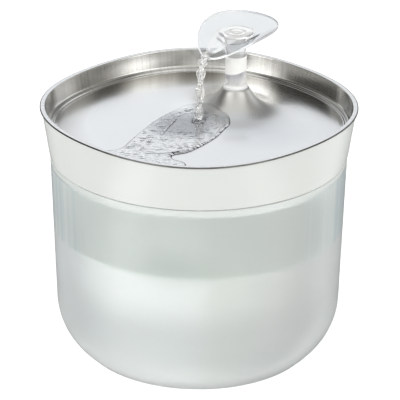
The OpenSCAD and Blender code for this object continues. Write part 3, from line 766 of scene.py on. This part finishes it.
def scoop_z(x, y):
    """Height of the scoop's top at a point, by its share along the ray."""
    x, y = np.asarray(x, float), np.asarray(y, float) - SPOUT_Y
    a = np.arctan2(y, x)
    for _ in range(3):   # the ray through the point, allowing for the edge's own shape
        ex, ey = 27.3 * np.cos(a) * (1 + 0.094 * np.sin(a)), 28.8 * np.sin(a) + 0.25
        a = a + np.arctan2(y, x) - np.arctan2(ey, ex)
    ex, ey = 27.3 * np.cos(a) * (1 + 0.094 * np.sin(a)), 28.8 * np.sin(a) + 0.25
    ez = 240 + 0.3 * ey - 0.0158 * ex ** 2 - 0.0225 * ey ** 2
    re, r = np.hypot(ex, ey), np.hypot(x, y)
    t = np.clip((r - 7.6) / (re - 7.6), 0, 1)
    return 223 + (ez - 223) * t ** 1.6


L_EDGE = np.hypot(EX - SX, EY - SY)
rings = []
for inset, dz in ((0.7, -2.0), (0.35, -1.93), (0.1, -1.7), (0.0, -1.35), (0.0, -1.0), (0.0, -0.55), (0.1, -0.25), (0.35, -0.06), (0.7, 0.0)):   # eased edge
    rings.append(scoop(1 - inset / L_EDGE, dz))
rings += [scoop(t, 0) for t in (0.9, 0.82, 0.74, 0.66, 0.58, 0.5, 0.42, 0.35, 0.29)]
flare_in = [(12.3, 223.0), (11.2, 222.45), (10.0, 221.4), (8.9, 219.8), (7.9, 217.6), (7.0, 214.9), (6.3, 212.0), (5.8, 209.0), (5.55, 206.4), (5.5, 204.0)]
bore = [(r, z, 0, 0) for r, z in flare_in] + [(5.5, 188.8, 0, 0.5), (4.0, 188.0, 0, 0.4), (4.0, 146.5, 0, 0.3)]
outer_t = [(5.5, 146.5, 0, 0.3), (5.5, 185.7, 0, 0.0), (7.5, 185.7, 0, 0.3), (7.5, 193.4, 0, 0), (7.5, 193.6, 0, 0), (7.5, 204.5, 0, 0), (7.55, 207, 0, 0), (7.8, 209.6, 0, 0), (8.3, 212.0, 0, 0),
           (9.1, 214.2, 0, 0), (10.3, 216.2, 0, 0), (11.8, 218.0, 0, 0), (13.6, 219.4, 0, 0)]
rings += [ring(r, z, 0, SPOUT_Y) for r, z, _ in fillet(bore + outer_t, steps=4)]
rings += [scoop(t, -2.0) for t in (0.42, 0.5, 0.58, 0.66, 0.74, 0.82, 0.9)]
v, f = skin(rings)
spout = make("spout_clear", v, f, 50)


def clear(name, color, rough, ior=1.25):
    m = Mat(name, Base_Color=color, Roughness=rough, IOR=ior)
    m.set("Transmission Weight", 1.0)
    v = m.coords()
    m.color(m.ramp(m.noise(v, 40.0, 2.0), [(0.3, tint(color, 0.985)), (0.7, tint(color, 1.01))]))
    m.rough(m.range(m.noise(v, 90.0, 3.0), 0.3, 0.7, rough * 0.6, rough * 1.4))
    m.bump(m.noise(v, 260.0, 2.0), 0.02, 0.0002)
    return m.m


clear_mat = clear("clear_plastic_gloss", (0.965, 0.972, 0.98), 0.03)
throat_mat = clear("clear_plastic_throat", (0.975, 0.975, 0.985), 0.08, 1.07)
throat_mat.node_tree.nodes["Principled BSDF"].inputs["Transmission Weight"].default_value = 0.84
tube_m = Mat("clear_plastic_tube", Roughness=0.08, IOR=1.25)   # painted light: nearly opaque white above, for the glare on the clear tube; a clearer slanting foot below, lavender-grey at its top and lightened to white towards the bottom against its shade
tsep = tube_m.add("ShaderNodeSeparateXYZ")
tube_m.link(tube_m.tc.outputs["Object"], tsep.inputs[0])
slant = tube_m.math("ADD", tsep.outputs[2], tube_m.math("MULTIPLY", tube_m.math("ADD", tsep.outputs[0], tube_m.math("SUBTRACT", tsep.outputs[1], SPOUT_Y * M)), -0.14))
slant = tube_m.math("ADD", slant, tube_m.math("MULTIPLY", tube_m.math("SUBTRACT", tube_m.noise(tube_m.coords(), 120.0, 2.0), 0.5), 0.0016))
tube_m.color(tube_m.ramp(tube_m.range(slant, 0.184, 0.206, 0.0, 1.0),
                         [(0.16, (1.0, 1.0, 1.0)), (0.38, (0.62, 0.615, 0.66)), (0.47, (0.56, 0.555, 0.60)), (0.51, (0.85, 0.85, 0.845))]))
tube_m.link(tube_m.range(slant, 0.1949, 0.1952, 0.50, 0.03), tube_m.bsdf.inputs["Transmission Weight"])
tube_m.bump(tube_m.noise(tube_m.coords(), 260.0, 2.0), 0.02, 0.0002)
tube_mat = tube_m.m
haze_mat = clear("clear_plastic_scoop", (0.700, 0.720, 0.737), 0.08, 1.07)
haze_mat.node_tree.nodes["Principled BSDF"].inputs["Transmission Weight"].default_value = 0.93
rim_mat = Mat("clear_plastic_rim", Roughness=0.3, IOR=1.12)   # the edge's cut face, with painted shade: lighter on one side and darker on the other
rsep = rim_mat.add("ShaderNodeSeparateXYZ")
rim_mat.link(rim_mat.tc.outputs["Object"], rsep.inputs[0])
rim_mat.color(rim_mat.ramp(rim_mat.range(rim_mat.math("ADD", rsep.outputs[0], rsep.outputs[1]), 0.030, 0.058, 0.0, 1.0),
                           [(0.0, (0.97, 0.975, 0.985)), (1.0, (0.58, 0.59, 0.62))]))
rim_mat.bump(rim_mat.noise(rim_mat.coords(), 400.0, 2.0), 0.05, 0.0002)
rim_mat = rim_mat.m
rim_mat.node_tree.nodes["Principled BSDF"].inputs["Transmission Weight"].default_value = 0.35
ring_mat = clear("clear_plastic_ring", (0.90, 0.905, 0.91), 0.17)
ring_mat.node_tree.nodes["Principled BSDF"].inputs["Transmission Weight"].default_value = 0.2
for m_ in (clear_mat, haze_mat, rim_mat, throat_mat, tube_mat):
    spout.data.materials.append(m_)
for p in spout.data.polygons:
    c = p.center / M
    rr = math.hypot(c.x, c.y - SPOUT_Y)
    a = math.atan2(c.y - SPOUT_Y, c.x)
    er = math.hypot(27.3 * math.cos(a) * (1 + 0.094 * math.sin(a)), 28.8 * math.sin(a) + 0.25)
    under = c.z - 223 - (240 + 0.3 * er * math.sin(a) - 0.0158 * (er * math.cos(a)) ** 2 - 0.0225 * (er * math.sin(a)) ** 2 - 223)
    p.material_index = 2 if rr > er - 0.3 and under < -0.3 else 1 if rr > 12.4 else 3 if c.z > 206.5 else 4 if c.z > 184.8 and rr > 6.5 else 0
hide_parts("spout")
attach(spout, "spout")

foot = lathe("foot_ring_clear", fillet([
    (5.62, 178.1, 0, 0.2), (7.0, 178.1, 0, 0.2), (7.2, 178.7, 0, 0.1), (7.2, 183.12, 0, 0.0), (8.2, 183.12, 0, 0.6), (8.2, 185.7, 0, 1.1), (5.62, 185.7, 0, 0.3)],
    closed=True, steps=5), SPOUT_Y, n=128, sharp=50)
foot.data.materials.append(ring_mat)
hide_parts("spout_foot_ring")
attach(foot, "foot_ring")

# ============================================ water that leaves the spout
lively = water_mat("water_lively", (0.985, 0.99, 0.995), 0.0, 0.03, 600.0, 1.10)
lively.node_tree.nodes["Principled BSDF"].inputs["Transmission Weight"].default_value = 0.84
falling = water_mat("water_falling", (0.99, 0.99, 0.99), 0.0, 0.05, 700.0, 1.33)
falling.node_tree.nodes["Principled BSDF"].inputs["Transmission Weight"].default_value = 0.84


def remesh(o, size, relax=2):
    m = o.modifiers.new("remesh", "REMESH")
    m.mode, m.voxel_size, m.use_smooth_shade = "VOXEL", size * M, True
    s = o.modifiers.new("relax", "SMOOTH")
    s.factor, s.iterations = 0.5, relax
    return applied(o)


def strand(path, radius, twist=0.0, offset=0.0, phase=0.0, n=20, flat=1.0):
    """Rings of a strand round a path, set off from it along a helix."""
    out = []
    m = len(path)
    for i, p in enumerate(path):
        s = i / (m - 1)
        d = path[min(i + 1, m - 1)] - path[max(i - 1, 0)]
        d = d / np.linalg.norm(d)
        u = np.cross(d, (0, 1, 0.01)); u /= np.linalg.norm(u)
        q = np.cross(d, u)
        th = phase + twist * s * TAU
        r = radius(s)
        c = p + offset(s) * (u * math.cos(th) + q * math.sin(th)) if callable(offset) else p
        e1, e2 = u * math.cos(th) + q * math.sin(th), -u * math.sin(th) + q * math.cos(th)
        b = np.arange(n) * TAU / n
        out.append(c + r * (np.outer(np.cos(b), e1) + flat * np.outer(np.sin(b), e2)))
    return out


fall = spline([(0, 9.5, 215.0), (0, 7.0, 213.6), (0, 4.6, 212.0), (0, 3.0, 209.0), (0, 1.9, 204.8), (0, 1.2, 198), (0, 0.8, 188), (-0.4, 0.8, 177), (-1.0, 0.9, 168.6)], 14, False)
parts = []
for ph in (0.0, math.pi):
    parts.append(strand(fall, lambda s: 1.6 - 0.35 * s, 2.5, lambda s: 2.35 - 0.8 * s, ph))
parts.append(strand(fall, lambda s: 2.3 - 0.6 * s, 2.5, 0.0, 0.5 * math.pi, flat=0.50))
allv, allf = [], []
for p in parts:
    v, f = skin(p, False, (p[0].mean(0), p[-1].mean(0)))
    k = sum(len(x) for x in allv)
    allv.append(v)
    allf += [tuple(i + k for i in q) for q in f]
stream = make("water_stream", np.vstack(allv), allf)
stream = remesh(stream, 0.26, 2)
stream.data.materials.append(falling)
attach(stream, "spout")

# water standing in the tube and spreading over the scoop to its lip
K = 240
ang = np.arange(K) * TAU / K
reach = 13.2 + 0.8 * np.cos(3 * ang + 0.6) + 0.5 * np.cos(5 * ang)
front_dir = np.exp(-((np.mod(ang - 1.5 * math.pi + math.pi, TAU) - math.pi) / 0.50) ** 2)
reach = reach + (27.2 - reach) * front_dir
film_rings = []
for t in np.linspace(1.0, 0.04, 46):
    x, y = reach * t * np.cos(ang), SPOUT_Y + reach * t * np.sin(ang)
    rr = reach * t
    base = scoop_z(x, y)
    h = 1.0 * smooth((1 - t) / 0.12) * (0.55 + 0.45 * smooth((20 - rr) / 12))
    wave = np.array([noise.noise(Vector((a * 0.16, b * 0.16, 3.1))) + 0.3 * noise.noise(Vector((a * 0.4, b * 0.4, 7.7))) for a, b in zip(x, y)])
    circ = 0.24 * np.cos(rr * 1.35) * smooth((13 - rr) / 6)
    film_rings.append(np.c_[x, y, np.maximum(base, 222.3 + 0 * base) * (rr < 12.3) + base * (rr >= 12.3) + 0.03 + h * (1 + 0.22 * wave) + circ * smooth((1 - t) / 0.2)])
# underneath: on the scoop, then down the flared mouth and the bore
low = [np.c_[reach * t * np.cos(ang), SPOUT_Y + reach * t * np.sin(ang), scoop_z(reach * t * np.cos(ang), SPOUT_Y + reach * t * np.sin(ang)) + 0.04]
       for t in (0.99,)]
for s in np.linspace(0.0, 1.0, 12)[:-1]:
    rad = reach * 0.985 * (1 - s) + 12.1 * s
    x, y = rad * np.cos(ang), SPOUT_Y + rad * np.sin(ang)
    low.append(np.c_[x, y, scoop_z(x, y) + 0.04])
tube_w = [(r - 0.03, z, 0) for r, z in flare_in] + [(5.47, 189.0, 0), (3.97, 188.1, 0), (3.97, 150.0, 0)]
low += [ring(r, z, 0, SPOUT_Y, K) for r, z, _ in tube_w]
v, f = skin(low[::-1] + film_rings, False, ((0, SPOUT_Y, 150.0), film_rings[-1].mean(0)))
film = make("water_spout", v, f, 70)
film.data.materials.append(lively)
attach(film, "spout")

# puddle that runs from the landing place to the drain slots
outline = spline([(-6, -73.8), (-5.8, -66.7), (-11.5, -53.4), (-17.5, -37.8), (-23.8, -20.8), (-27.3, -4.3), (-27.9, 7.5), (-27.1, 15.1),
                  (-20.6, 18.9), (-10, 18.9), (3.3, 16.9), (12, 16.6), (18.8, 11.6), (21.4, 3.4), (26.7, -11.3), (29.8, -27.3), (30.5, -40.7),
                  (27.4, -51.5), (32.5, -56.6), (42.8, -55.7), (48, -62), (44, -72), (34, -80), (26, -84.5), (8, -85), (-8, -84.5), (-9, -80)], 12)
K = 420
line = even(outline, K)
jump = spline([(-3.5, -33.0), (-8.9, -23.2), (-16, -8.0), (-19.3, -2.9), (-18.6, 3.8), (-14.2, 7.8), (-6, 10.5), (4, 10.5), (12, 6.5), (15, 1.0)], 10, False)
land = np.array([-2.0, 1.6])


def to_segments(p, a, b):
    """Distance from each point to the nearest of the segments a to b."""
    d = b - a
    q = p[:, None, :] - a[None]
    t = np.clip((q * d[None]).sum(2) / np.maximum((d * d).sum(1), 1e-9)[None], 0, 1)
    return np.sqrt((((q - t[:, :, None] * d[None]) ** 2).sum(2)).min(1))


def puddle_h(x, y):
    """Depth of the water at a point."""
    p = np.c_[x, y]
    d_edge = to_segments(p, line, np.roll(line, -1, 0))
    d_jump = to_segments(p, jump[:-1], jump[1:])
    d_land = np.linalg.norm(p - land, axis=1)
    body = 0.95 * np.sqrt(np.clip(1 - (1 - np.clip(d_edge / 1.6, 0, 1)) ** 2, 0, 1))
    calm = smooth((17 - np.hypot(x + 6, y + 9)) / 8)
    u, v = (x + y) * 0.7071, (y - x) * 0.7071
    n1 = np.array([noise.noise(Vector((a * 0.12, b * 0.30, 1.3))) for a, b in zip(u, v)])
    n2 = np.array([noise.noise(Vector((a * 0.24, b * 0.72, 5.1))) for a, b in zip(u, v)])
    n3 = np.array([noise.noise(Vector((a * 0.55, b * 1.15, 9.4))) for a, b in zip(u, v)])
    rip = (0.16 * n1 + 0.20 * n2 + 0.12 * n3) * (1 - 0.72 * calm)
    ridge = 0.48 * np.exp(-(d_jump / 0.8) ** 2) - 0.16 * np.exp(-((d_jump - 2.0) / 1.2) ** 2)
    ridge = ridge * (0.75 + 0.5 * n2)
    thick = (0.30 + 0.15 * n3) * np.exp(-((d_edge - 1.7) / 1.1) ** 2) * smooth((x - 5) / 14) * smooth((y + 60) / 8)
    circles = 0.15 * np.cos(d_land * 1.25) * np.exp(-d_land / 9.0)
    crater = 1.25 * np.exp(-((d_land - 3.6) / 0.8) ** 2) * (1 + 0.4 * n3) - 0.3 * np.exp(-(d_land / 2.2) ** 2)
    inside = smooth(d_edge / 2.0)
    return body + inside * (rip + ridge + circles + crater) + thick * smooth(d_edge / 0.7)


def inside_of(p, loop):
    """Which points lie inside a closed loop."""
    a, b = loop, np.roll(loop, -1, 0)
    hit = np.zeros(len(p), int)
    for (x0, y0), (x1, y1) in zip(a, b):
        if y0 == y1:
            continue
        over = (p[:, 1] >= min(y0, y1)) & (p[:, 1] < max(y0, y1))
        hit += over & (x0 + (p[:, 1] - y0) * (x1 - x0) / (y1 - y0) > p[:, 0])
    return hit % 2 == 1


gap = 0.62
gx, gy = np.meshgrid(np.arange(-40, 60, gap), np.arange(-95, 30, gap * 0.866))
gx = gx + (np.arange(gx.shape[0]) % 2)[:, None] * gap / 2
grid = np.c_[gx.ravel(), gy.ravel()]
grid = grid[inside_of(grid, line)]
grid = grid[to_segments(grid, line, np.roll(line, -1, 0)) > 0.42]
flat_pts = np.vstack([line, grid])
cdt = delaunay_2d_cdt([Vector(p) for p in flat_pts], [], [list(range(K))], 1, 1e-5)
flat2 = np.array([tuple(p) for p in cdt[0]])
edge_of = [any(i < K for i in src) for src in cdt[3]]
z_top = tray_top(flat2[:, 0], flat2[:, 1]) + 0.03
z_top[~np.array(edge_of)] += np.maximum(0.06, puddle_h(*flat2[~np.array(edge_of)].T))
z_low = tray_top(flat2[:, 0], flat2[:, 1]) + 0.02
low_of, low_pts = {}, []
for i, on_edge in enumerate(edge_of):
    if on_edge:
        low_of[i] = i
    else:
        low_of[i] = len(flat2) + len(low_pts)
        low_pts.append((*flat2[i], z_low[i]))
tris = [tuple(f) for f in cdt[2]]
v = np.vstack([np.c_[flat2, z_top], np.array(low_pts)])
f = tris + [tuple(low_of[i] for i in reversed(t)) for t in tris]
puddle = make("water_puddle", v, f, 70)
d_rim = to_segments(flat2, line, np.roll(line, -1, 0))
jag = np.array([noise.noise(Vector((a * 0.35, b * 0.35, 2.2))) for a, b in flat2])
swell_shade = np.exp(-(d_rim / (1.6 + 1.4 * jag + 1.4 * smooth((-34 - flat2[:, 1]) / 10))) ** 2) * smooth((flat2[:, 0] - 4) / 14) * smooth((flat2[:, 1] + 60) / 7) * smooth((12 - flat2[:, 1]) / 10)
attr = puddle.data.attributes.new("swell_shade", "FLOAT", "POINT")
attr.data.foreach_set("value", np.r_[np.clip(swell_shade * (0.85 + 0.5 * jag), 0, 1), np.zeros(len(low_pts))].astype(np.float32))
pool_m = Mat("water_pool", Roughness=0.0, IOR=1.22)
pool_m.set("Transmission Weight", 1.0)
around = pool_m.add("ShaderNodeVectorMath", operation="DISTANCE")   # painted shade: greyer near where the stream lands
pool_m.link(pool_m.tc.outputs["Object"], around.inputs[0])
around.inputs[1].default_value = (-0.005, -0.012, 0.167)
deep = pool_m.math("ADD", around.outputs["Value"], pool_m.math("MULTIPLY", pool_m.noise(pool_m.coords(), 60.0, 3.0), 0.012))
pool_shade = pool_m.ramp(pool_m.range(deep, 0.006, 0.056, 0.0, 1.0), [(0.20, (0.70, 0.705, 0.71)), (0.36, (0.79, 0.795, 0.805)), (0.54, (1.0, 1.0, 1.0))])
rim_at = pool_m.add("ShaderNodeAttribute", attribute_name="swell_shade")   # painted shade along the swollen edge where the water piles up: the water there is coloured dark
edge_mix = pool_m.add("ShaderNodeMix", data_type="RGBA", blend_type="MULTIPLY")
pool_m.link(rim_at.outputs["Fac"], edge_mix.inputs[0])
pool_m.link(pool_shade, edge_mix.inputs[6])
edge_mix.inputs[7].default_value = (0.38, 0.385, 0.39, 1)
pool_m.color(edge_mix.outputs[2])
turned = pool_m.add("ShaderNodeMapping")
pool_m.link(pool_m.tc.outputs["Object"], turned.inputs["Vector"])
turned.inputs["Rotation"].default_value = (0, 0, math.radians(-45))
turned.inputs["Scale"].default_value = (260.0, 1100.0, 300.0)
pool_m.bump(pool_m.noise(turned.outputs[0], 1.0, 3.0, 0.6), 0.08, 0.0004)
pool = pool_m.m
puddle.data.materials.append(pool)
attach(puddle, "tray")
for clear_thing in (spout, foot, film, stream):   # so thin and clear that the brushed steel hardly mirrors them
    clear_thing.visible_glossy = False

# ==================================================== the CAD nodes' finishes
white = plastic("white_satin", (0.80, 0.815, 0.80), 0.35)
pump_m = plastic("pump_satin", (0.78, 0.80, 0.80), 0.42, 0.03, 0.2)
dark_rub = rubber("rubber_grommet", (0.16, 0.165, 0.17))
silicone = rubber("silicone_feet", (0.62, 0.65, 0.65), 0.4)
filt = plastic("filter_case", (0.72, 0.76, 0.77), 0.38)


def granules(name, dark_c, light_c, scale, rough):
    m = Mat(name, Roughness=rough)
    vo = m.voronoi(m.coords(), scale)
    m.color(m.ramp(m.math("FRACT", m.math("MULTIPLY", vo.outputs["Distance"], 3.0)), [(0.2, dark_c), (0.9, light_c)]))
    m.bump(vo.outputs["Distance"], 0.8, 0.0008)
    return m.m


carbon = granules("carbon_granules", (0.02, 0.02, 0.022), (0.07, 0.07, 0.075), 900.0, 0.75)
resin = granules("resin_beads", (0.55, 0.32, 0.10), (0.80, 0.54, 0.22), 1100.0, 0.35)


def fibres(name, color, scale, strength, rough=0.95):
    m = Mat(name, Roughness=rough)
    a = m.noise(m.coords(1.0, 6.0, 6.0), scale, 5.0, 0.7, 1.5)
    b = m.noise(m.coords(6.0, 1.0, 6.0), scale, 5.0, 0.7, 1.5)
    h = m.math("ADD", a, b)
    m.color(m.ramp(m.math("MULTIPLY", h, 0.5), [(0.3, tint(color, 0.82)), (0.7, tint(color, 1.06))]))
    m.bump(h, strength, 0.0006)
    return m.m


fleece = fibres("filter_fleece_fibres", (0.88, 0.88, 0.84), 160.0, 0.5)


def open_cell(name, color, scale):
    m = Mat(name, Roughness=0.95)
    # painted shade: the cells' hollows are darker than the struts round them
    d = m.voronoi(m.coords(), scale, "DISTANCE_TO_EDGE")
    m.color(m.ramp(d, [(0.0, tint(color, 1.15)), (0.35, tint(color, 0.45))]))
    m.bump(m.math("MULTIPLY", d, -1.0), 0.9, 0.0008)
    return m.m


foam = open_cell("strainer_foam_cells", (0.70, 0.72, 0.72), 420.0)


def bands(name, c1, c2, direction, scale, rough, metal=0.0, depth_=0.5):
    m = Mat(name, Roughness=rough, Metallic=metal)
    wv = m.add("ShaderNodeTexWave", bands_direction=direction)
    m.link(m.coords(), wv.inputs["Vector"])
    wv.inputs["Scale"].default_value = scale
    wv.inputs["Distortion"].default_value = 0.4
    m.color(m.ramp(wv.outputs[0], [(0.1, c1), (0.8, c2)]))
    m.bump(wv.outputs[0], depth_, 0.0003)
    return m.m


core = bands("laminated_core", (0.16, 0.165, 0.175), (0.40, 0.41, 0.43), "Y", 320.0, 0.45, 1.0)
copper = bands("enamelled_wire", (0.42, 0.16, 0.06), (0.80, 0.40, 0.18), "X", 420.0, 0.3, 1.0, 0.8)
finish = {
    "rubber_feet": silicone, "suction_cups": silicone, "cable_grommet": dark_rub, "cable_gland": dark_rub,
    "riser_tube": clear("riser_clear", (0.93, 0.95, 0.955), 0.08), "riser_coupling": silicone, "filter_frame": white,
    "filter_shell": filt, "filter_lid": filt, "filter_fleece": fleece, "carbon_bed": carbon, "resin_bed": resin,
    "pump_housing": pump_m, "strainer_cover": pump_m, "impeller_cover": pump_m, "strainer_foam": foam,
    "flow_shutter": plastic("shutter_satin", (0.50, 0.55, 0.58), 0.4), "stator_core": core, "stator_coil": copper,
    "coil_bobbin": plastic("bobbin_nylon", (0.82, 0.81, 0.74), 0.45), "potting": plastic("potting_resin", (0.03, 0.03, 0.032), 0.35, 0.1),
    "rotor_magnet": plastic("magnet_ferrite", (0.07, 0.07, 0.075), 0.5, 0.12, 0.3),
    "impeller": plastic("impeller_pom", (0.84, 0.84, 0.79), 0.3), "impeller_shaft": plastic("ceramic_shaft", (0.90, 0.90, 0.86), 0.12, 0.02, 0.03),
    "shaft_bushes": dark_rub,
}
for name, mat in finish.items():
    o = nodes[name]
    o.data.materials.clear()
    o.data.materials.append(mat)
for name in ("bowl", "collar", "tray", "spout", "spout_foot_ring"):
    nodes[name].data.materials.clear()
    nodes[name].data.materials.append(white)
